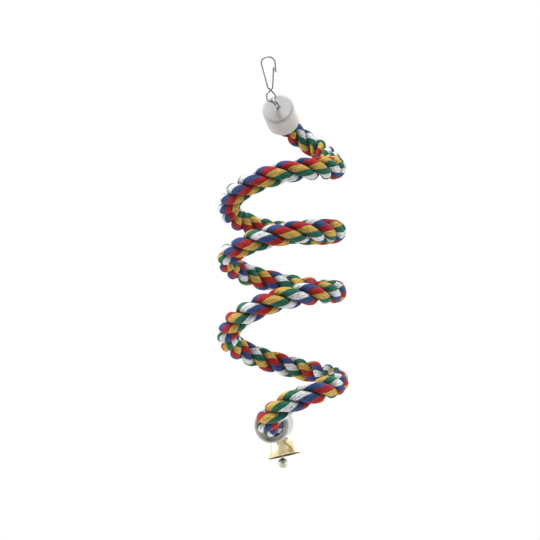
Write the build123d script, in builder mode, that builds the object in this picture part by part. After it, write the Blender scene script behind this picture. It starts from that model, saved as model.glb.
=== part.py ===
from build123d import *
import os
from math import cos, pi, radians, sin, sqrt

# A hanging spiral rope perch: a thick rope on a springy steel core, a plastic cap with a wire eye on
# each end, a wire snap hook on the top eye and a small bell on the bottom one.
# Lengths are in millimetres and angles in degrees. The origin is the inside top of the hook's bow,
# where the perch hangs. +X points to the right, +Y to the back and +Z up.

# Rope and its core wire
ROPE_DIAMETER = 20.0
CORE_DIAMETER = 3.0
COIL_RADIUS = 48.0
COIL_HEIGHT = 193.0
# Drop of each quarter turn, from the right by the front, left and back, as shares of the coil's height
QUARTER_DROP_SHARES = (0.078, 0.109, 0.062, 0.050, 0.068, 0.070, 0.062, 0.088, 0.071, 0.138, 0.097, 0.107)
# The rope's ends, from the first and the last right-hand bend, as shares of the coil's radius
TOP_RIM_SHARES = (0.03, 0.50, 1.12)
TOP_BEND_SHARES = (0.50, 0.95, 0.80)
BOTTOM_BEND_SHARES = (0.37, -1.05, -0.42)
BOTTOM_TURN_SHARES = (-0.25, -0.71, -0.78)
BOTTOM_RIM_SHARES = (-0.20, -0.20, -0.86)
# The way the rope points as it leaves the top cap and as it enters the bottom one
TOP_CAP_YAW = 11.0
TOP_CAP_RISE = -7.5
BOTTOM_CAP_YAW = 12.0
BOTTOM_CAP_RISE = 10.0
# The coil hangs a little askew, with its weight under the hook
LEAN_FORWARD = 5.4
LEAN_SIDE = 4.7

# End caps, and the set glue that holds the rope in them
CAP_FACE_DIAMETER = 29.5
CAP_RIM_DIAMETER = 31.0
CAP_LENGTH = 28.0
CAP_WALL = 2.0
CAP_FLOOR = 2.5
CAP_EDGE_ROUND = 3.0
CAP_RIM_ROUND = 0.6
PLUG_FLOOR = 5.0
PLUG_GRIP = 17.0

# Wire eyes, their nuts and washers
EYE_DIAMETER = 12.5
EYE_WIRE = 2.0
EYE_NECK = 4.0
EYE_TIP = 0.8
TOP_EYE_LEAN = 45.0
NUT_FLATS = 4.5
NUT_HEIGHT = 1.8
WASHER_DIAMETER = 8.0
WASHER_THICKNESS = 0.8

# Snap hook, bent from one wire with a crossing above its small ring
HOOK_WIRE = 1.5
BOW_WIDTH = 14.0
CROSSING_DROP = 30.0
CROSSING_ANGLE = 35.0
WAIST_WIDTH = 4.6
RING_WIDTH = 9.5
TIP_DROP = 14.0
LATCH_OVERLAP = 4.0

# Bell, its wire loop and its clapper
BELL_MOUTH_DIAMETER = 30.8
BELL_SHOULDER_DIAMETER = 20.6
BELL_WAIST_DIAMETER = 23.0
BELL_HEIGHT = 18.5
BELL_CROWN_HEIGHT = 6.0
BELL_WALL = 0.8
BELL_LEAN = 8.0
BELL_PITCH = 5.0
BELL_OFFSET = 2.0
BELL_DROP = 6.0
LOOP_DIAMETER = 6.8
LOOP_WIRE = 1.4
HANGER_DIAMETER = 4.4
HANGER_WIRE = 1.2
CLAPPER_RING_DIAMETER = 4.6
CLAPPER_WIRE = 1.2
CLAPPER_BALL_DIAMETER = 9.0
CLAPPER_DROP = 20.5

# Gaps between pieces that fit together, that can move on one another and that pass each other
FIT = 0.1
LINK_GAP = 0.25
PASS_GAP = 0.3

# The arc of a quarter turn, as a share of its chord
ARC_PER_CHORD_SHARE = pi / 4 / sin(pi / 4)
ROUTE_SAMPLES = 480

UP = Vector(0, 0, 1)


def heading(yaw, rise):
    """A direction that points to the back, turned to the right by yaw and up by rise."""
    level = cos(radians(rise))
    return Vector(level * sin(radians(yaw)), level * cos(radians(yaw)), sin(radians(rise)))


def flat(vector):
    """The level part of a vector."""
    return Vector(vector.X, vector.Y, 0)


def bend_heading(before, here, after):
    """The way a smooth line points at one of its points: along a circle in plan, at an even slope."""
    back = flat(here - before)
    ahead = flat(after - here)
    level = back.normalized() * ahead.length + ahead.normalized() * back.length
    run = ARC_PER_CHORD_SHARE * (back.length + ahead.length)
    return (level.normalized() + UP * ((after.Z - before.Z) / run)).normalized()


def biarcs(points, headings):
    """Draw a smooth line of arcs, two from each point to the next, along the heading at each."""
    for start, end, leave, arrive in zip(points, points[1:], headings, headings[1:]):
        chord = end - start
        along = chord.dot(leave + arrive)
        bend = 2 * (1 - leave.dot(arrive))
        reach = (sqrt(along**2 + bend * chord.dot(chord)) - along) / bend
        leave_corner = start + leave * reach
        arrive_corner = end - arrive * reach
        joint = (leave_corner + arrive_corner) * 0.5
        TangentArc(start, joint, tangent=leave)
        TangentArc(joint, end, tangent=arrive_corner - leave_corner)


def side_plane(frame):
    """The plane through a frame's axis: its x is the frame's x, and its y is the frame's axis."""
    return Plane(origin=frame.origin, x_dir=frame.x_dir, z_dir=-frame.y_dir)


def ring_plane(frame, height):
    """The plane of a ring that stands on a frame's axis, in the frame's own x and z."""
    return Plane(origin=frame.origin + frame.z_dir * height, x_dir=frame.x_dir, z_dir=frame.y_dir)


def save(piece, name):
    """Label a finished piece and write it."""
    piece.part.label = name
    export_step(piece.part, f"parts/{name}.step")


os.makedirs("parts", exist_ok=True)

# The hook's own places, on its middle line
bow_radius = (BOW_WIDTH - HOOK_WIRE) / 2
bow_middle = HOOK_WIRE / 2 - bow_radius
hook_ring_radius = (RING_WIDTH - HOOK_WIRE) / 2
hook_ring_middle = -CROSSING_DROP - hook_ring_radius / sin(radians(CROSSING_ANGLE))
crossing_offset = (HOOK_WIRE + PASS_GAP) / 2
waist_rise = WAIST_WIDTH / 2

# The eye's wire rests on the bottom of the hook's ring
eye_radius = (EYE_DIAMETER - EYE_WIRE) / 2
eye_middle = EYE_NECK + EYE_DIAMETER / 2
link_drop = hook_ring_radius - HOOK_WIRE / 2 - EYE_WIRE / 2 - LINK_GAP - hook_ring_middle
link = UP * -link_drop

# Where the top cap stands, from the eye that hangs in the hook
lean = Plane.XY.rotated((-LEAN_FORWARD, LEAN_SIDE, 0))
top_out = -lean.from_local_coords(heading(TOP_CAP_YAW, TOP_CAP_RISE))
top_across = UP.cross(top_out).normalized()
top_over = top_out.cross(top_across)
top_eye_side = top_over * cos(radians(TOP_EYE_LEAN)) - top_across * sin(radians(TOP_EYE_LEAN))
top_eye_crest = (top_out * top_out.Z + top_eye_side * top_eye_side.Z).normalized()
top_face = link - top_eye_crest * eye_radius - top_out * eye_middle
top_frame = Plane(origin=top_face, x_dir=top_eye_side, z_dir=top_out)

# The rope's middle line, in the coil's own frame
coil_points = []
for quarter in range(len(QUARTER_DROP_SHARES) + 1):
    turn = radians(-90 * quarter)
    drop = COIL_HEIGHT * sum(QUARTER_DROP_SHARES[:quarter])
    coil_points.append(Vector(COIL_RADIUS * cos(turn), COIL_RADIUS * sin(turn), -drop))
top_rim = Vector(*TOP_RIM_SHARES) * COIL_RADIUS
top_bend = Vector(*TOP_BEND_SHARES) * COIL_RADIUS
bottom_bend = Vector(*BOTTOM_BEND_SHARES) * COIL_RADIUS - UP * COIL_HEIGHT
bottom_turn = Vector(*BOTTOM_TURN_SHARES) * COIL_RADIUS - UP * COIL_HEIGHT
bottom_rim = Vector(*BOTTOM_RIM_SHARES) * COIL_RADIUS - UP * COIL_HEIGHT
rope_points = [top_rim, top_bend, *coil_points, bottom_bend, bottom_turn, bottom_rim]
rope_headings = [heading(TOP_CAP_YAW, TOP_CAP_RISE)]
for before, here, after in zip(rope_points, rope_points[1:], rope_points[2:]):
    rope_headings.append(bend_heading(before, here, after))
rope_headings.append(heading(BOTTOM_CAP_YAW, BOTTOM_CAP_RISE))

# The same line where it hangs, with a straight run into each cap
coil_origin = top_face - top_out * CAP_LENGTH - lean.from_local_coords(top_rim)
hung_points = [coil_origin + lean.from_local_coords(point) for point in rope_points]
hung_headings = [lean.from_local_coords(direction) for direction in rope_headings]
rope_seat = CAP_LENGTH - CAP_FLOOR - PLUG_FLOOR
rope_start = hung_points[0] - hung_headings[0] * rope_seat
rope_finish = hung_points[-1] + hung_headings[-1] * rope_seat
with BuildLine() as rope_route:
    Line(rope_start, hung_points[0])
    biarcs(hung_points, hung_headings)
    Line(hung_points[-1], rope_finish)
rope_line = rope_route.wire()

# Where the bottom cap stands, with its eye upright
bottom_out = hung_headings[-1]
bottom_across = UP.cross(bottom_out).normalized()
bottom_over = bottom_out.cross(bottom_across)
bottom_face = hung_points[-1] + bottom_out * CAP_LENGTH
bottom_frame = Plane(origin=bottom_face, x_dir=bottom_over, z_dir=bottom_out)

# Rope and core wire
with BuildPart() as spiral_rope:
    with BuildSketch(Plane(origin=rope_start, z_dir=hung_headings[0])):
        Circle(ROPE_DIAMETER / 2)
        Circle(CORE_DIAMETER / 2 + FIT, mode=Mode.SUBTRACT)
    sweep(path=rope_line)
save(spiral_rope, "spiral_rope")

with BuildPart() as core_wire:
    with BuildSketch(Plane(origin=rope_start, z_dir=hung_headings[0])):
        Circle(CORE_DIAMETER / 2)
    sweep(path=rope_line)
save(core_wire, "core_wire")

# End caps with what is in them: the same pieces at both ends
shank_radius = EYE_WIRE / 2
hole_radius = shank_radius + FIT
draft = (CAP_RIM_DIAMETER - CAP_FACE_DIAMETER) / 2 / CAP_LENGTH
floor_radius = CAP_FACE_DIAMETER / 2 - CAP_WALL + draft * CAP_FLOOR
plug_end = CAP_FLOOR + PLUG_FLOOR + PLUG_GRIP
plug_end_radius = CAP_FACE_DIAMETER / 2 - CAP_WALL + draft * plug_end
pocket_radius = WASHER_DIAMETER / 2 + FIT
shank_depth = CAP_FLOOR + WASHER_THICKNESS + NUT_HEIGHT + EYE_TIP
for end, frame in (("top", top_frame), ("bottom", bottom_frame)):
    axis = Axis(frame.origin, frame.z_dir)

    with BuildPart() as cap:
        with BuildSketch(side_plane(frame)):
            with BuildLine():
                Polyline(
                    (hole_radius, 0),
                    (CAP_FACE_DIAMETER / 2, 0),
                    (CAP_RIM_DIAMETER / 2, -CAP_LENGTH),
                    (CAP_RIM_DIAMETER / 2 - CAP_WALL, -CAP_LENGTH),
                    (floor_radius, -CAP_FLOOR),
                    (hole_radius, -CAP_FLOOR),
                    close=True,
                )
            make_face()
        revolve(axis=axis)
        fillet(cap.edges().group_by(axis)[-1].sort_by(SortBy.RADIUS)[-1], CAP_EDGE_ROUND)
        fillet(cap.edges().group_by(axis)[0], CAP_RIM_ROUND)
    save(cap, f"{end}_cap")

    with BuildPart() as glue:
        with BuildSketch(side_plane(frame)):
            with BuildLine():
                Polyline(
                    (pocket_radius, -CAP_FLOOR),
                    (floor_radius - FIT, -CAP_FLOOR),
                    (plug_end_radius - FIT, -plug_end),
                    (ROPE_DIAMETER / 2 + LINK_GAP, -plug_end),
                    (ROPE_DIAMETER / 2 + LINK_GAP, -CAP_FLOOR - PLUG_FLOOR),
                    (0, -CAP_FLOOR - PLUG_FLOOR),
                    (0, -shank_depth - FIT),
                    (pocket_radius, -shank_depth - FIT),
                    close=True,
                )
            make_face()
        revolve(axis=axis)
    save(glue, f"{end}_glue")

    with BuildPart() as eye:
        with Locations(ring_plane(frame, eye_middle)):
            Torus(eye_radius, EYE_WIRE / 2)
        with BuildSketch(frame.offset(-shank_depth)):
            Circle(shank_radius)
        extrude(amount=shank_depth + eye_middle - eye_radius)
    save(eye, f"{end}_eye")

    with BuildPart() as washer:
        with BuildSketch(frame.offset(-CAP_FLOOR)):
            Circle(WASHER_DIAMETER / 2)
            Circle(hole_radius, mode=Mode.SUBTRACT)
        extrude(amount=-WASHER_THICKNESS)
    save(washer, f"{end}_washer")

    with BuildPart() as nut:
        with BuildSketch(frame.offset(-CAP_FLOOR - WASHER_THICKNESS)):
            RegularPolygon(NUT_FLATS / 2, 6, major_radius=False)
            Circle(hole_radius, mode=Mode.SUBTRACT)
        extrude(amount=-NUT_HEIGHT)
    save(nut, f"{end}_nut")

# Snap hook: from the tip over the bow, down the left leg, across and round the ring
cross_right = Vector(sin(radians(CROSSING_ANGLE)), 0, -cos(radians(CROSSING_ANGLE)))
cross_up = Vector(sin(radians(CROSSING_ANGLE)), 0, cos(radians(CROSSING_ANGLE)))
hook_tip = Vector(bow_radius, 0, -TIP_DROP)
right_shoulder = Vector(bow_radius, 0, bow_middle)
bow_top = UP * (HOOK_WIRE / 2)
left_shoulder = Vector(-bow_radius, 0, bow_middle)
left_waist = Vector(-WAIST_WIDTH / 2, -crossing_offset, waist_rise - CROSSING_DROP)
left_leg = (left_waist - left_shoulder).normalized()
ring_start = Vector(0, -crossing_offset, -CROSSING_DROP)
ring_right = Vector(hook_ring_radius, -crossing_offset / 2, hook_ring_middle)
ring_bottom = Vector(0, 0, hook_ring_middle - hook_ring_radius)
ring_left = Vector(-hook_ring_radius, crossing_offset / 2, hook_ring_middle)
with BuildPart() as snap_hook:
    with BuildLine() as hook_route:
        Line(hook_tip, right_shoulder)
        biarcs([right_shoulder, bow_top, left_shoulder], [UP, Vector(-1, 0, 0), left_leg])
        Line(left_shoulder, left_waist)
        biarcs(
            [left_waist, ring_start, ring_right, ring_bottom, ring_left],
            [left_leg, cross_right, -UP, Vector(-1, 0, 0), UP],
        )
    with BuildSketch(Plane(origin=hook_tip, z_dir=UP)):
        Circle(HOOK_WIRE / 2)
    sweep(path=hook_route.wire())
save(snap_hook, "snap_hook")

# Gate: the same wire's other end, which springs inwards from the ring's left side
gate_pivot = ring_left + UP * (HOOK_WIRE / 2 + LINK_GAP)
gate_crossing = Vector(0, crossing_offset, -CROSSING_DROP)
gate_waist = Vector(WAIST_WIDTH / 2, crossing_offset, waist_rise - CROSSING_DROP)
gate_top = Vector(bow_radius - HOOK_WIRE - LINK_GAP, 0, LATCH_OVERLAP - TIP_DROP)
gate_leg = (gate_top - gate_waist).normalized()
with BuildPart() as hook_gate:
    with BuildLine() as gate_route:
        biarcs([gate_pivot, gate_crossing, gate_waist], [UP, cross_up, gate_leg])
        Line(gate_waist, gate_top)
    with BuildSketch(Plane(origin=gate_pivot, z_dir=UP)):
        Circle(HOOK_WIRE / 2)
    sweep(path=gate_route.wire())
    with Locations(gate_pivot, gate_top):
        Sphere(HOOK_WIRE / 2)
save(hook_gate, "hook_gate")

# Bell: it hangs by its loop on the bottom eye's lowest wire, askew, with its mouth turned a little forwards
bell_hinge = flat(bottom_out).normalized()
bell_pivot = bottom_face + bottom_out * eye_middle - UP * eye_radius
level = bell_hinge.cross(UP)
bell_frame = Plane(origin=bell_pivot, x_dir=level, z_dir=UP).rotated((-BELL_PITCH, -BELL_LEAN, 0))
crown = bell_frame.origin - bell_frame.x_dir * BELL_OFFSET - bell_frame.z_dir * BELL_DROP
crown_frame = Plane(origin=crown, x_dir=bell_frame.x_dir, z_dir=bell_frame.z_dir)
stem_radius = LOOP_WIRE / 2
with BuildPart() as bell_shell:
    with BuildSketch(side_plane(crown_frame)):
        with BuildLine():
            TangentArc((0, 0), (BELL_SHOULDER_DIAMETER / 2, -BELL_CROWN_HEIGHT), tangent=(1, 0))
            ThreePointArc(
                (BELL_SHOULDER_DIAMETER / 2, -BELL_CROWN_HEIGHT),
                (BELL_WAIST_DIAMETER / 2, -(BELL_HEIGHT + BELL_CROWN_HEIGHT) / 2),
                (BELL_MOUTH_DIAMETER / 2, -BELL_HEIGHT),
            )
            offset(amount=BELL_WALL, side=Side.RIGHT, closed=True)
        make_face()
    revolve(axis=Axis(crown, crown_frame.z_dir))
    with BuildSketch(crown_frame):
        Circle(stem_radius + FIT)
    extrude(amount=BELL_HEIGHT, both=True, mode=Mode.SUBTRACT)
save(bell_shell, "bell_shell")

# Bell loop: a ring over the eye's wire, a stem through the crown and a small hanger inside
loop_radius = (LOOP_DIAMETER - LOOP_WIRE) / 2
loop_middle = EYE_WIRE / 2 + LINK_GAP + LOOP_WIRE / 2 - loop_radius
hanger_radius = (HANGER_DIAMETER - HANGER_WIRE) / 2
hanger_middle = -BELL_WALL - LINK_GAP - HANGER_DIAMETER / 2
hanger_frame = Plane(origin=crown, x_dir=crown_frame.y_dir, z_dir=crown_frame.z_dir)
with BuildPart() as bell_loop:
    with Locations(ring_plane(bell_frame, loop_middle)):
        Torus(loop_radius, LOOP_WIRE / 2)
    with Locations(ring_plane(hanger_frame, hanger_middle)):
        Torus(hanger_radius, HANGER_WIRE / 2)
    stem_foot = hanger_middle + hanger_radius
    stem_head = BELL_DROP + loop_middle - sqrt(loop_radius**2 - BELL_OFFSET**2)
    with BuildSketch(crown_frame.offset(stem_foot)):
        Circle(stem_radius)
    extrude(amount=stem_head - stem_foot)
save(bell_loop, "bell_loop")

# Clapper: a ring round the hanger's lowest wire, a straight wire and a ball
clapper_pivot = crown + crown_frame.z_dir * (hanger_middle - hanger_radius)
clapper_frame = Plane(origin=clapper_pivot, x_dir=level, z_dir=UP).rotated((-BELL_PITCH, 0, 0))
clapper_ring_radius = (CLAPPER_RING_DIAMETER - CLAPPER_WIRE) / 2
clapper_ring_middle = HANGER_WIRE / 2 + LINK_GAP + CLAPPER_WIRE / 2 - clapper_ring_radius
ball_radius = CLAPPER_BALL_DIAMETER / 2
with BuildPart() as clapper_ball:
    with Locations(clapper_frame.offset(-CLAPPER_DROP)):
        Sphere(ball_radius)
    with BuildSketch(clapper_frame.offset(-CLAPPER_DROP)):
        Circle(CLAPPER_WIRE / 2 + FIT)
    extrude(amount=ball_radius, mode=Mode.SUBTRACT)
save(clapper_ball, "clapper_ball")

with BuildPart() as clapper_wire:
    with Locations(ring_plane(clapper_frame, clapper_ring_middle)):
        Torus(clapper_ring_radius, CLAPPER_WIRE / 2)
    with BuildSketch(clapper_frame.offset(-CLAPPER_DROP)):
        Circle(CLAPPER_WIRE / 2)
    extrude(amount=CLAPPER_DROP + clapper_ring_middle - clapper_ring_radius)
save(clapper_wire, "clapper_wire")

# The rope's least gap to itself, its volume against its section and length, and the joints' places
samples = [rope_line.position_at(step / ROUTE_SAMPLES) for step in range(ROUTE_SAMPLES + 1)]
step_length = rope_line.length / ROUTE_SAMPLES
apart = int(pi * ROPE_DIAMETER / step_length)
least = min((a - b).length for i, a in enumerate(samples) for b in samples[i + apart:])
tightest = min(edge.radius for edge in rope_route.edges().filter_by(GeomType.CIRCLE))
section = pi * ((ROPE_DIAMETER / 2) ** 2 - (CORE_DIAMETER / 2 + FIT) ** 2)
print(f"rope length {rope_line.length:.1f}, least gap to itself {least - ROPE_DIAMETER:.1f}")
print(f"rope tightest bend {tightest:.1f}")
print(f"rope volume {spiral_rope.part.volume:.0f}, section times length {section * rope_line.length:.0f}")
for name, place in (
    ("link", link),
    ("gate pivot", gate_pivot),
    ("bell pivot", bell_pivot),
    ("bell hinge", bell_hinge),
    ("clapper pivot", clapper_pivot),
    ("clapper hinge", clapper_frame.y_dir),
    ("coil origin", coil_origin),
):
    print(name, [round(value, 3) for value in place])
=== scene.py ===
import bpy
from math import cos, pi, radians, sin, tau
from mathutils import Matrix, Vector


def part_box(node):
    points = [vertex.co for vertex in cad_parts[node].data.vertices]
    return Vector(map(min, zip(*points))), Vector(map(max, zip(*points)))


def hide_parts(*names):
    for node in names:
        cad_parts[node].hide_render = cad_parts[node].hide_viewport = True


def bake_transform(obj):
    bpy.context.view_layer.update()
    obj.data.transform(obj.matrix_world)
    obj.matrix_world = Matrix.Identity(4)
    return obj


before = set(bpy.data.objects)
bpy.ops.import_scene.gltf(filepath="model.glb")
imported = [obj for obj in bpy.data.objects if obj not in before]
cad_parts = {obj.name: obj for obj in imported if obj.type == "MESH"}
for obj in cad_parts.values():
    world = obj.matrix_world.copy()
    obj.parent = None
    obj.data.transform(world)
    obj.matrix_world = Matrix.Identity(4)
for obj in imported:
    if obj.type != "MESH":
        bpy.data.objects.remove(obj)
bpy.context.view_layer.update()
bpy.ops.object.select_all(action="DESELECT")

# The coil's own frame: it hangs a little askew under the hook, and its sizes are in millimetres
MM = 0.001
COIL_ORIGIN = Vector((4.565, 7.786, -102.801)) * MM
COIL_LEAN = Matrix.Rotation(radians(-5.4), 3, "X") @ Matrix.Rotation(radians(4.7), 3, "Y")
COIL_AXIS = COIL_LEAN @ Vector((0, 0, 1))
COIL_RADIUS = 48.0
COIL_HEIGHT = 193.0
QUARTER_DROP_SHARES = (0.078, 0.109, 0.062, 0.050, 0.068, 0.070, 0.062, 0.088, 0.071, 0.138, 0.097, 0.107)
POINTS_PER_QUARTER = 3


def hung(point):
    """A point of the coil's own frame, in millimetres, where it hangs, in metres."""
    return COIL_ORIGIN + COIL_LEAN @ (Vector(point) * MM)


# Camera: it looks up at the coil from a little below, with the coil's axis upright in the picture. The coil's
# middle shows this many pixels across and down
PICTURE = 540
PIXEL = 0.9 * MM
CAMERA_DISTANCE = 1.4
CAMERA_RISE = radians(11)
SENSOR_WIDTH = 36
COIL_MIDDLE = (0, 0, -97)
MIDDLE_ACROSS = 282
MIDDLE_DOWN = 274
right = COIL_LEAN @ Vector((1, 0, 0))
forward = COIL_LEAN @ Vector((0, cos(CAMERA_RISE), sin(CAMERA_RISE)))
up = right.cross(forward)
aside_shift = right * (PICTURE / 2 - MIDDLE_ACROSS) * PIXEL
upward_shift = up * (PICTURE / 2 - MIDDLE_DOWN) * PIXEL
aim = hung(COIL_MIDDLE) + aside_shift - upward_shift
bpy.ops.object.camera_add(location=aim - forward * CAMERA_DISTANCE)
camera = bpy.context.object
camera.name = "photo_camera"
camera.rotation_euler = Matrix((right, up, -forward)).transposed().to_euler()
camera.data.sensor_width = SENSOR_WIDTH
camera.data.lens = SENSOR_WIDTH * CAMERA_DISTANCE / (PICTURE * PIXEL)
bpy.context.scene.camera = camera


# Rope: its route is one smooth spline from the top cap, down the coil and into the bottom cap. These are the
# spline's points above and below the coil, in the coil's own frame
TOP_RUN = ((-2.4, 4.1, 56.4), (3.3, 33.3, 52.5), (15.8, 44.3, 43.2), (40.3, 48.1, 28.7), (48.9, 17.7, 7.2))
BOTTOM_RUN = (
    (49.2, -17.6, -198.1), (35.0, -50.2, -206.9), (8.0, -50.5, -216.7), (-8.3, -43.2, -227.2),
    (-14.3, -28.3, -232.5), (-11.0, -15.9, -235.4), (-5.4, 10.2, -230.7),
)
SPLINE_ORDER = 3
SPLINE_STEPS = 12


def rope_route():
    """The rope's spline: the turns of the coil are points round a circle that each drop a little more."""
    route = list(TOP_RUN)
    drop = 0.0
    # The spline cuts the corners between its points, so they stand a little outside the coil
    control_radius = COIL_RADIUS / cos(pi / 4 / POINTS_PER_QUARTER)
    for quarter, share in enumerate(QUARTER_DROP_SHARES):
        for step in range(POINTS_PER_QUARTER):
            part = (step + 0.5) / POINTS_PER_QUARTER
            turn = -tau / 4 * (quarter + part)
            height = -COIL_HEIGHT * (drop + share * part)
            route.append((control_radius * cos(turn), control_radius * sin(turn), height))
        drop += share
    route += BOTTOM_RUN
    bpy.ops.curve.primitive_nurbs_path_add(enter_editmode=False, location=(0, 0, 0))
    curve = bpy.context.object
    curve.data.splines.clear()
    spline = curve.data.splines.new("NURBS")
    spline.points.add(len(route) - 1)
    for point, place in zip(spline.points, route):
        point.co = (*hung(place), 1)
    spline.order_u = SPLINE_ORDER
    spline.use_endpoint_u = True
    spline.resolution_u = SPLINE_STEPS
    curve.name = "rope_route"
    return curve


def route_points(curve):
    """The places along a curve, read from the line that it draws."""
    bpy.context.view_layer.update()
    line = bpy.data.meshes.new_from_object(curve)
    points = [vertex.co.copy() for vertex in line.vertices]
    bpy.data.meshes.remove(line)
    return points


# Three strands fill the rope, all but a fine gap between two. Each stands out to its reach, falls away by a
# share of it to the grooves beside it, along a curve of this power, and has its root near the core
STRANDS = 3
STRAND_FILL = 0.985
STRAND_REACH = 10.2
STRAND_ROOT = 1.7
GROOVE_DEPTH_SHARE = 0.46
GROOVE_CURVE = 2.6
ARC_STEPS = 24
# Turns of the lay at a length along the rope, in millimetres: it is a little tighter below the top cap
LAY_TURNS = ((0, 0.31), (150, 3.31), (1300, 23.846))
# The yarns of a strand turn back this often in one lay, and its outside shows this share of their round
YARN_TURNS = 2.4
OUTER_YARN_SHARE = 0.65
# Each strand has a stripe of every colour, and the stripes wander along the rope: a row is a length in
# millimetres and the number of stripes by which they lie off there
STRIPES = 5
STRIPE_SHIFTS = (
    (
        (0, -0.6), (60, -0.45), (165, -2.4), (235, -2.4), (500, -1.2), (1300, -1.3),
    ),
    (
        (0, -0.7), (37, -0.8), (82, -1.9), (155, -0.9), (205, -0.6), (255, -1.4), (300, -1.1), (480, -0.5),
        (830, 1.5), (1020, 0.4), (1120, 0.7), (1155, 2.5), (1300, 2.7),
    ),
    (
        (0, 0.2), (55, 0.3), (72, 0.65), (143, -0.95), (200, -0.5), (240, -1.25), (540, -1.3), (670, -2.2),
        (830, -1.8), (1000, -2.1), (1110, -0.5), (1300, -1.4),
    ),
)
CORE_RADIUS = 1.5
CORE_SIDES = 12
# One unit of the UV map along the rope, in millimetres. The cut ends take one place in the first stripe
UV_SPAN = 100.0
CUT_END_UV = (0.05, 0)
SMOOTH_ANGLE = radians(60)


def at_length(table, length):
    """The value of a table of (length, value) rows at a length."""
    for (start, low), (end, high) in zip(table, table[1:]):
        if length <= end:
            return low + (high - low) * (length - start) / (end - start)
    return table[-1][1]


def lengths(points):
    """The length of a line up to each of its places, in millimetres."""
    total = [0.0]
    for a, b in zip(points, points[1:]):
        total.append(total[-1] + (b - a).length / MM)
    return total


def crossways(points):
    """Two ways square to a line at each of its places: the one nearest to the coil's axis, and one aside."""
    ahead = points[1:] + points[-1:]
    behind = points[:1] + points[:-1]
    ways = []
    for a, b in zip(ahead, behind):
        head = (a - b).normalized()
        over = (COIL_AXIS - head * COIL_AXIS.dot(head)).normalized()
        ways.append((over, head.cross(over)))
    return ways


def off_line(point, over, aside, angle, reach):
    """The place at an angle round a point of a line, and a reach in millimetres away from it."""
    return point + (over * cos(angle) + aside * sin(angle)) * reach * MM


def tube_mesh(name, rings, u_round, u_rows, v_rows, depths):
    """A closed tube through rings of places, with a UV map of its own: u round it and v along it.

    The depths, one for each place of a ring, say how far down in a groove it lies, from 0 to 1.
    """
    sides = len(rings[0])
    verts = [place for ring in rings for place in ring]
    faces = []
    for row in range(len(rings) - 1):
        here = row * sides
        beyond = here + sides
        for side in range(sides):
            after = (side + 1) % sides
            faces.append((here + side, here + after, beyond + after, beyond + side))
    faces.append(tuple(range(sides - 1, -1, -1)))
    last = (len(rings) - 1) * sides
    faces.append(tuple(range(last, last + sides)))
    mesh = bpy.data.meshes.new(name)
    mesh.from_pydata(verts, [], faces)
    groove = mesh.attributes.new("groove", "FLOAT", "POINT")
    groove.data.foreach_set("value", list(depths) * len(rings))
    uv = mesh.uv_layers.new(name="yarn")
    loop = 0
    for row in range(len(rings) - 1):
        for side in range(sides):
            for r, k in ((row, side), (row, side + 1), (row + 1, side + 1), (row + 1, side)):
                uv.data[loop].uv = (u_round[k] + u_rows[r], v_rows[r])
                loop += 1
    for index in range(sides * 2):
        uv.data[loop + index].uv = CUT_END_UV
    piece = bpy.data.objects.new(name, mesh)
    bpy.context.collection.objects.link(piece)
    return piece


def join(pieces, name):
    """Make one piece of one or several, smooth, with its faces pointing outwards."""
    bpy.ops.object.select_all(action="DESELECT")
    for piece in pieces:
        piece.select_set(True)
    bpy.context.view_layer.objects.active = pieces[0]
    if len(pieces) > 1:
        bpy.ops.object.join()
    bpy.ops.object.mode_set(mode="EDIT")
    bpy.ops.mesh.select_all(action="SELECT")
    bpy.ops.mesh.normals_make_consistent(inside=False)
    bpy.ops.object.mode_set(mode="OBJECT")
    bpy.ops.object.shade_smooth_by_angle(angle=SMOOTH_ANGLE)
    piece = bpy.context.object
    piece.name = name
    piece.data.name = name
    bpy.ops.object.select_all(action="DESELECT")
    return piece


def strand_section():
    """One strand's section, with a full outside, and pressed to an edge inside.

    Its rows are a reach in millimetres, an angle, and a share of the round of its yarns.
    """
    section = []
    for step in range(ARC_STEPS + 1):
        part = 1 - 2 * step / ARC_STEPS
        reach = STRAND_REACH * (1 - GROOVE_DEPTH_SHARE * abs(part) ** GROOVE_CURVE)
        section.append((reach, part * pi / STRANDS * STRAND_FILL, -part * OUTER_YARN_SHARE / 2))
    # The root lies on the far side of the yarns' round
    section.append((STRAND_ROOT, 0.0, 0.5))
    return section


def rope_strands(points):
    """The strands, laid round the route. Their yarns are twisted back, so they run along the rope."""
    along = lengths(points)
    ways = crossways(points)
    section = strand_section()
    groove_depth = STRAND_REACH * GROOVE_DEPTH_SHARE
    depths = [min(1.0, (STRAND_REACH - reach) / groove_depth) for reach, angle, share in section]
    u_round = [share for reach, angle, share in section] + [1 - OUTER_YARN_SHARE / 2]
    v_rows = [length / UV_SPAN for length in along]
    strands = []
    for strand in range(STRANDS):
        turns = [at_length(LAY_TURNS, length) + strand / STRANDS for length in along]
        rings = []
        for point, (over, aside), turn in zip(points, ways, turns):
            ring = []
            for reach, angle, share in section:
                ring.append(off_line(point, over, aside, tau * turn + angle, reach))
            rings.append(ring)
        shifts = [at_length(STRIPE_SHIFTS[strand], length) / STRIPES for length in along]
        u_rows = [shift - YARN_TURNS * turn for shift, turn in zip(shifts, turns)]
        strands.append(tube_mesh(f"strand_{strand}", rings, u_round, u_rows, v_rows, depths))
    return join(strands, "rope_strands")


def core_tube(points):
    """The steel core wire in the rope's middle."""
    angles = [tau * side / CORE_SIDES for side in range(CORE_SIDES)]
    rings = []
    for point, (over, aside) in zip(points, crossways(points)):
        rings.append([off_line(point, over, aside, angle, CORE_RADIUS) for angle in angles])
    u_round = [side / CORE_SIDES for side in range(CORE_SIDES + 1)]
    u_rows = [0.0] * len(points)
    v_rows = [length / UV_SPAN for length in lengths(points)]
    tube = tube_mesh("core", rings, u_round, u_rows, v_rows, [0.0] * CORE_SIDES)
    return join([tube], "core_wire_tube")


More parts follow.
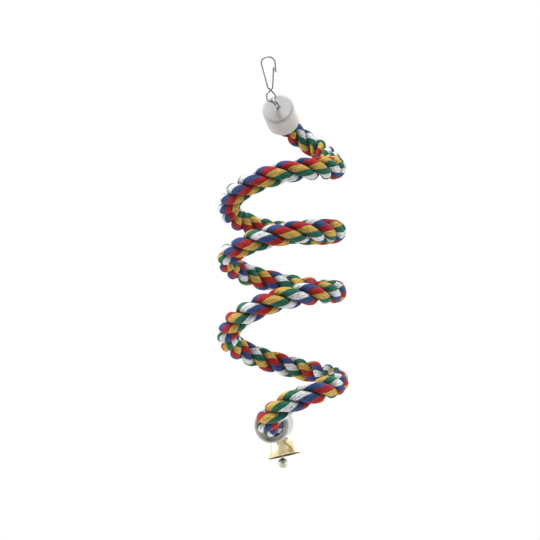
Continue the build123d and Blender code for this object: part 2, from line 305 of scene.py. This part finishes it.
route_curve = rope_route()
rope_points = route_points(route_curve)
rope = rope_strands(rope_points)
core = core_tube(rope_points)
bpy.data.objects.remove(route_curve)


# Materials
def colour(code):
    """An sRGB hex colour as linear red, green, blue and alpha."""
    values = [int(code[i : i + 2], 16) / 255 for i in (1, 3, 5)]
    return [v / 12.92 if v <= 0.04045 else ((v + 0.055) / 1.055) ** 2.4 for v in values] + [1.0]


def add(tree, kind, settings=(), links=()):
    """Add a node to a tree, set its properties, inputs or colour stops, and link sockets to its inputs."""
    node = tree.nodes.new(kind)
    for name, value in dict(settings).items():
        if name == "stops":
            while len(node.color_ramp.elements) < len(value):
                node.color_ramp.elements.new(1.0)
            for element, (place, code) in zip(node.color_ramp.elements, value):
                element.position = place
                element.color = colour(code)
        elif isinstance(name, str) and hasattr(node, name):
            setattr(node, name, value)
        else:
            node.inputs[name].default_value = value
    for name, socket in dict(links).items():
        tree.links.new(socket, node.inputs[name])
    return node


def marks(size):
    """The scale of a pattern in Object coordinates whose marks are this many millimetres across."""
    return 1 / (size * MM)


def new_material(name):
    """An empty material with its output."""
    material = bpy.data.materials.new(name)
    material.use_nodes = True
    material.node_tree.nodes.clear()
    return material, material.node_tree, material.node_tree.nodes.new("ShaderNodeOutputMaterial")


# Most of a cloudy pattern's values lie between these two
CLOUD_LOW = 0.3
CLOUD_HIGH = 0.7
# A metal is smoother and rougher in places, by these shares
ROUGH_LOW = 0.8
ROUGH_HIGH = 1.3
# One round of a strand's yarns takes up about this width of its outside, in millimetres, so a stripe is about
# 6 mm wide and one of its threads about 2 mm. A fibre is drawn coarser than the real one, so that it shows
ROUND_WIDTH = 30.0
THREADS_PER_STRIPE = 3
FIBRE_WIDTH = 0.5
FIBRE_LENGTH = 7.0
# The stripes' edges wander within this share of a round
EDGE_WANDER = 0.05


def dyed_cotton():
    """Spun cotton yarn, dyed in five colours and twisted into strands.

    It gives the eye matt stripes, with fine threads along them and a soft nap that is lighter and darker in
    patches, partly painted highlight. Painted shade darkens the lines between threads and the grooves.
    """
    material, tree, output = new_material("dyed_cotton_yarn")
    place = add(tree, "ShaderNodeTexCoord").outputs["Object"]
    uv = add(tree, "ShaderNodeUVMap", {"uv_map": "yarn"})
    yarn = add(tree, "ShaderNodeSeparateXYZ", links={0: uv.outputs[0]})
    # The stripes' edges wander every 7 mm or so, by a fraction of a millimetre
    wander = add(tree, "ShaderNodeTexNoise", {"Scale": marks(7.0), "Detail": 2.0}, {"Vector": place})
    drift = add(tree, "ShaderNodeMath", {"operation": "MULTIPLY_ADD", 1: EDGE_WANDER, 2: -EDGE_WANDER / 2},
                {0: wander.outputs[0]})
    turn = add(tree, "ShaderNodeMath", {"operation": "ADD"}, {0: yarn.outputs[0], 1: drift.outputs[0]})
    cycle = add(tree, "ShaderNodeMath", {"operation": "FRACT"}, {0: turn.outputs[0]})
    dyes = ("#405387", "#bb2f30", "#ddb95c", "#2c705c", "#f1f3f5")
    dye = add(tree, "ShaderNodeValToRGB", {"stops": [(k / STRIPES, code) for k, code in enumerate(dyes)]},
              {0: cycle.outputs[0]})
    dye.color_ramp.interpolation = "CONSTANT"
    # Threads: painted shade makes a darker line between two
    thread = add(tree, "ShaderNodeMath", {"operation": "MULTIPLY", 1: tau * STRIPES * THREADS_PER_STRIPE},
                 {0: turn.outputs[0]})
    ridge = add(tree, "ShaderNodeMath", {"operation": "SINE"}, {0: thread.outputs[0]})
    gap = add(tree, "ShaderNodeMapRange", {"From Min": -1.0, "From Max": 0.2, "To Min": 0.7, "To Max": 1.0},
              {"Value": ridge.outputs[0]})
    # Fibres: each yarn is lighter and darker along its length
    fibre_round = add(tree, "ShaderNodeMath", {"operation": "MULTIPLY", 1: ROUND_WIDTH / FIBRE_WIDTH},
                      {0: turn.outputs[0]})
    fibre_along = add(tree, "ShaderNodeMath", {"operation": "MULTIPLY", 1: UV_SPAN / FIBRE_LENGTH},
                      {0: yarn.outputs[1]})
    fibre_place = add(tree, "ShaderNodeCombineXYZ",
                      links={0: fibre_round.outputs[0], 1: fibre_along.outputs[0]})
    fibre = add(tree, "ShaderNodeTexNoise", {"Scale": 1.0, "Detail": 3.0}, {"Vector": fibre_place.outputs[0]})
    shade = add(tree, "ShaderNodeMapRange",
                {"From Min": 0.25, "From Max": 0.75, "To Min": 0.55, "To Max": 1.55},
                {"Value": fibre.outputs[0]})
    # Nap: loose tufts about 2 mm across stand up. They are lighter and darker in random patches, partly as
    # painted highlight where they catch the light
    tuft = add(tree, "ShaderNodeTexNoise", {"Scale": marks(2.0), "Detail": 3.0, "Roughness": 0.65},
               {"Vector": place})
    nap = add(tree, "ShaderNodeMapRange",
              {"From Min": CLOUD_LOW, "From Max": CLOUD_HIGH, "To Min": 0.74, "To Max": 1.3},
              {"Value": tuft.outputs[0]})
    # Grooves: painted shade darkens the yarn down between two strands, where little light comes down
    groove = add(tree, "ShaderNodeAttribute", {"attribute_name": "groove"})
    painted_groove_shade = add(tree, "ShaderNodeMapRange", {"From Min": 0.1, "From Max": 0.9, "To Min": 1.1, "To Max": 0.4},
               {"Value": groove.outputs["Fac"]})
    # The yarn's tone: random fibre tone, times the painted shade of thread lines and grooves and the nap's
    # partly painted highlight
    depth = gap
    for change in (shade, nap, painted_groove_shade):
        depth = add(tree, "ShaderNodeMath", {"operation": "MULTIPLY"},
                    {0: depth.outputs[0], 1: change.outputs[0]})
    tone = add(tree, "ShaderNodeMix", {"data_type": "RGBA", "blend_type": "MULTIPLY", 0: 1.0},
               {6: dye.outputs[0], 7: depth.outputs[0]})
    relief = add(tree, "ShaderNodeMath", {"operation": "MULTIPLY_ADD", 1: 0.5},
                 {0: ridge.outputs[0], 2: fibre.outputs[0]})
    bump = add(tree, "ShaderNodeBump", {"Strength": 0.35, "Distance": 0.4 * MM},
               {"Height": relief.outputs[0]})
    shader = add(tree, "ShaderNodeBsdfPrincipled",
                 {"Roughness": 0.92, "Specular IOR Level": 0.2, "Sheen Weight": 0.12},
                 {"Base Color": tone.outputs[2], "Normal": bump.outputs[0]})
    tree.links.new(shader.outputs[0], output.inputs[0])
    return material


def moulded_plastic():
    """White polypropylene, injection moulded.

    It gives the eye a satin white, with a faint unevenness in its gloss, 11 mm across, and a fine grain,
    which is drawn coarser than the real one, so that it shows.
    """
    material, tree, output = new_material("moulded_polypropylene")
    place = add(tree, "ShaderNodeTexCoord").outputs["Object"]
    cloud = add(tree, "ShaderNodeTexNoise", {"Scale": marks(11.0), "Detail": 3.0}, {"Vector": place})
    gloss = add(tree, "ShaderNodeMapRange", {"To Min": 0.34, "To Max": 0.48}, {"Value": cloud.outputs[0]})
    grain = add(tree, "ShaderNodeTexNoise", {"Scale": marks(0.6), "Detail": 2.0}, {"Vector": place})
    bump = add(tree, "ShaderNodeBump", {"Strength": 0.05, "Distance": 0.2 * MM}, {"Height": grain.outputs[0]})
    tint = add(tree, "ShaderNodeValToRGB", {"stops": ((CLOUD_LOW, "#dfddda"), (CLOUD_HIGH, "#e6e4e2"))},
               {0: cloud.outputs[0]})
    shader = add(tree, "ShaderNodeBsdfPrincipled", {"IOR": 1.49},
                 {"Base Color": tint.outputs[0], "Roughness": gloss.outputs[0], "Normal": bump.outputs[0]})
    tree.links.new(shader.outputs[0], output.inputs[0])
    return material


def metal(name, dark, light, rough, cloud_size):
    """A metal whose colour and gloss vary a little, in clouds of a size in millimetres."""
    material, tree, output = new_material(name)
    place = add(tree, "ShaderNodeTexCoord").outputs["Object"]
    cloud = add(tree, "ShaderNodeTexNoise", {"Scale": marks(cloud_size), "Detail": 4.0}, {"Vector": place})
    tint = add(tree, "ShaderNodeValToRGB", {"stops": ((CLOUD_LOW, dark), (CLOUD_HIGH, light))},
               {0: cloud.outputs[0]})
    gloss = add(tree, "ShaderNodeMapRange", {"To Min": rough * ROUGH_LOW, "To Max": rough * ROUGH_HIGH},
                {"Value": cloud.outputs[0]})
    shader = add(tree, "ShaderNodeBsdfPrincipled", {"Metallic": 1.0},
                 {"Base Color": tint.outputs[0], "Roughness": gloss.outputs[0]})
    tree.links.new(shader.outputs[0], output.inputs[0])
    return material


def spun_brass(middle):
    """Brass, spun into a bell about a middle and polished outside.

    It gives the eye a bright, warm outside with clouds 8 mm across. Its inside is rougher, and dark brown as
    painted shade.
    """
    material, tree, output = new_material("spun_brass")
    place = add(tree, "ShaderNodeTexCoord")
    cloud = add(tree, "ShaderNodeTexNoise", {"Scale": marks(8.0), "Detail": 4.0},
                {"Vector": place.outputs["Object"]})
    polished = add(tree, "ShaderNodeValToRGB", {"stops": ((CLOUD_LOW, "#f0dda8"), (CLOUD_HIGH, "#fbeecb"))},
                   {0: cloud.outputs[0]})
    # A face that looks towards the middle is inside
    reach = add(tree, "ShaderNodeVectorMath", {"operation": "SUBTRACT", 1: middle},
                {0: place.outputs["Object"]})
    outwards = add(tree, "ShaderNodeVectorMath", {"operation": "DOT_PRODUCT"},
                   {0: place.outputs["Normal"], 1: reach.outputs[0]})
    inside = add(tree, "ShaderNodeMath", {"operation": "LESS_THAN", 1: 0.0}, {0: outwards.outputs["Value"]})
    # Painted shade: the faces inside the bell are painted dark brown
    tint = add(tree, "ShaderNodeMix", {"data_type": "RGBA", 7: colour("#5f4d2c")},
               {0: inside.outputs[0], 6: polished.outputs[0]})
    gloss = add(tree, "ShaderNodeMapRange", {"To Min": 0.24, "To Max": 0.5}, {"Value": inside.outputs[0]})
    shader = add(tree, "ShaderNodeBsdfPrincipled", {"Metallic": 1.0},
                 {"Base Color": tint.outputs[2], "Roughness": gloss.outputs[0]})
    tree.links.new(shader.outputs[0], output.inputs[0])
    return material


def set_glue():
    """Hot-melt glue, set. It gives the eye a milky white with a soft gloss and clouds 4 mm across."""
    material, tree, output = new_material("set_glue")
    place = add(tree, "ShaderNodeTexCoord").outputs["Object"]
    cloud = add(tree, "ShaderNodeTexNoise", {"Scale": marks(4.0), "Detail": 3.0}, {"Vector": place})
    tint = add(tree, "ShaderNodeValToRGB", {"stops": ((CLOUD_LOW, "#e0dbcf"), (CLOUD_HIGH, "#ece9e0"))},
               {0: cloud.outputs[0]})
    shader = add(tree, "ShaderNodeBsdfPrincipled", {"Roughness": 0.4}, {"Base Color": tint.outputs[0]})
    tree.links.new(shader.outputs[0], output.inputs[0])
    return material


def dress(names, material):
    """Give a material to carried-over solids."""
    for name in names:
        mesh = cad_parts[name].data
        mesh.materials.clear()
        mesh.materials.append(material)


rope.data.materials.append(dyed_cotton())
# Drawn steel, bare: a mid grey with a soft gleam
steel_wire = metal("drawn_steel_wire", "#7d7e80", "#98999b", 0.35, 3.0)
core.data.materials.append(steel_wire)
dress(("top_cap", "bottom_cap"), moulded_plastic())
dress(("top_glue", "bottom_glue"), set_glue())
dress(("top_nut", "bottom_nut", "top_washer", "bottom_washer"), steel_wire)
# Steel wire, nickel plated: smoother, with clear dark and light lines along it
plated_wire = metal("nickel_plated_wire", "#85878a", "#9a9c9f", 0.26, 5.0)
dress(("snap_hook", "hook_gate", "top_eye", "bottom_eye", "bell_loop"), plated_wire)
bell_low, bell_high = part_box("bell_shell")
dress(("bell_shell",), spun_brass((bell_low + bell_high) / 2))
# The clapper's steel, nickel plated and left dull: pale, with one wide soft gleam
plated_ball = metal("nickel_plated_ball", "#cfd2c6", "#dcdfd3", 0.6, 7.0)
dress(("clapper_ball", "clapper_wire"), plated_ball)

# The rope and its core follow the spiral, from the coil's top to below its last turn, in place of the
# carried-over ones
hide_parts("spiral_rope")
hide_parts("core_wire")
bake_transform(rope)
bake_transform(core)


# Studio, in metres: a pale floor well below, a curtain, soft lamps and a white surround
FLOOR_SIZE = 1.6
FLOOR_LEVEL = -0.55
FLOOR_FADE_START = 0.3
FLOOR_FADE_END = 0.75
CURTAIN_PLACE = (0, -2.0, -0.35)
CURTAIN_WIDTH = 5.0
CURTAIN_HEIGHT = 1.9


def pale_paper():
    """Matt paper: it gives the eye a pale floor, which fades out towards its edges and is open from below."""
    material, tree, output = new_material("pale_paper")
    place = add(tree, "ShaderNodeTexCoord").outputs["Object"]
    reach = add(tree, "ShaderNodeVectorMath", {"operation": "LENGTH"}, {0: place})
    fade = add(tree, "ShaderNodeMapRange", {"From Min": FLOOR_FADE_START, "From Max": FLOOR_FADE_END},
               {"Value": reach.outputs["Value"]})
    side = add(tree, "ShaderNodeNewGeometry")
    hidden = add(tree, "ShaderNodeMath", {"operation": "MAXIMUM"},
                 {0: fade.outputs[0], 1: side.outputs["Backfacing"]})
    matt = add(tree, "ShaderNodeBsdfDiffuse", {"Color": colour("#e9e9e8")})
    clear = add(tree, "ShaderNodeBsdfTransparent")
    shader = add(tree, "ShaderNodeMixShader",
                 links={0: hidden.outputs[0], 1: matt.outputs[0], 2: clear.outputs[0]})
    tree.links.new(shader.outputs[0], output.inputs[0])
    return material


def grey_felt():
    """Felt, dyed grey: it gives the metals a dull, darker side to mirror."""
    material, tree, output = new_material("grey_felt")
    shader = add(tree, "ShaderNodeBsdfDiffuse", {"Color": colour("#6e6e6e")})
    tree.links.new(shader.outputs[0], output.inputs[0])
    return material


bpy.ops.mesh.primitive_plane_add(size=FLOOR_SIZE, location=(0, 0, FLOOR_LEVEL))
floor = bpy.context.object
floor.name = "studio_floor"
floor.data.materials.append(pale_paper())

# The curtain hangs on the camera's side. The camera doesn't see it, and the metals mirror it
bpy.ops.mesh.primitive_plane_add(size=1.0, location=CURTAIN_PLACE, rotation=(pi / 2, 0, 0))
curtain = bpy.context.object
curtain.name = "studio_curtain"
curtain.scale = (CURTAIN_WIDTH, CURTAIN_HEIGHT, 1.0)
curtain.visible_camera = False
curtain.data.materials.append(grey_felt())

# Square soft lamps that face the perch's middle: a name, a place, a size and a power in watts
PERCH_MIDDLE = Vector((0, 0, -0.2))
LAMPS = (
    ("top_lamp", (-0.3, -0.6, 1.9), 1.3, 45),
    ("right_lamp", (1.2, 0.0, -0.45), 1.0, 7),
    ("left_lamp", (-1.2, 0.0, -0.1), 1.0, 6),
    ("back_lamp", (0.3, 1.2, 0.4), 1.0, 8),
)
for lamp_name, place, size, power in LAMPS:
    bpy.ops.object.light_add(type="AREA", location=place)
    lamp = bpy.context.object
    lamp.name = lamp_name
    lamp.data.size = size
    lamp.data.energy = power
    lamp.rotation_euler = (PERCH_MIDDLE - Vector(place)).to_track_quat("-Z", "Y").to_euler()

# The surround lights softly, and is white where it is seen, mirrored or seen through something clear
SURROUND_LIGHT = 0.25
SURROUND_SEEN = 1.0
world = bpy.context.scene.world or bpy.data.worlds.new("studio")
bpy.context.scene.world = world
world.use_nodes = True
tree = world.node_tree
tree.nodes.clear()
ray = add(tree, "ShaderNodeLightPath")
mirrored = add(tree, "ShaderNodeMath", {"operation": "MAXIMUM"},
               {0: ray.outputs["Is Camera Ray"], 1: ray.outputs["Is Glossy Ray"]})
seen = add(tree, "ShaderNodeMath", {"operation": "MAXIMUM"},
           {0: mirrored.outputs[0], 1: ray.outputs["Is Transmission Ray"]})
strength = add(tree, "ShaderNodeMapRange", {"To Min": SURROUND_LIGHT, "To Max": SURROUND_SEEN},
               {"Value": seen.outputs[0]})
surround = add(tree, "ShaderNodeBackground", {"Color": (1, 1, 1, 1)}, {"Strength": strength.outputs[0]})
tree.links.new(surround.outputs[0], add(tree, "ShaderNodeOutputWorld").inputs[0])

bpy.context.scene.view_settings.view_transform = "Standard"
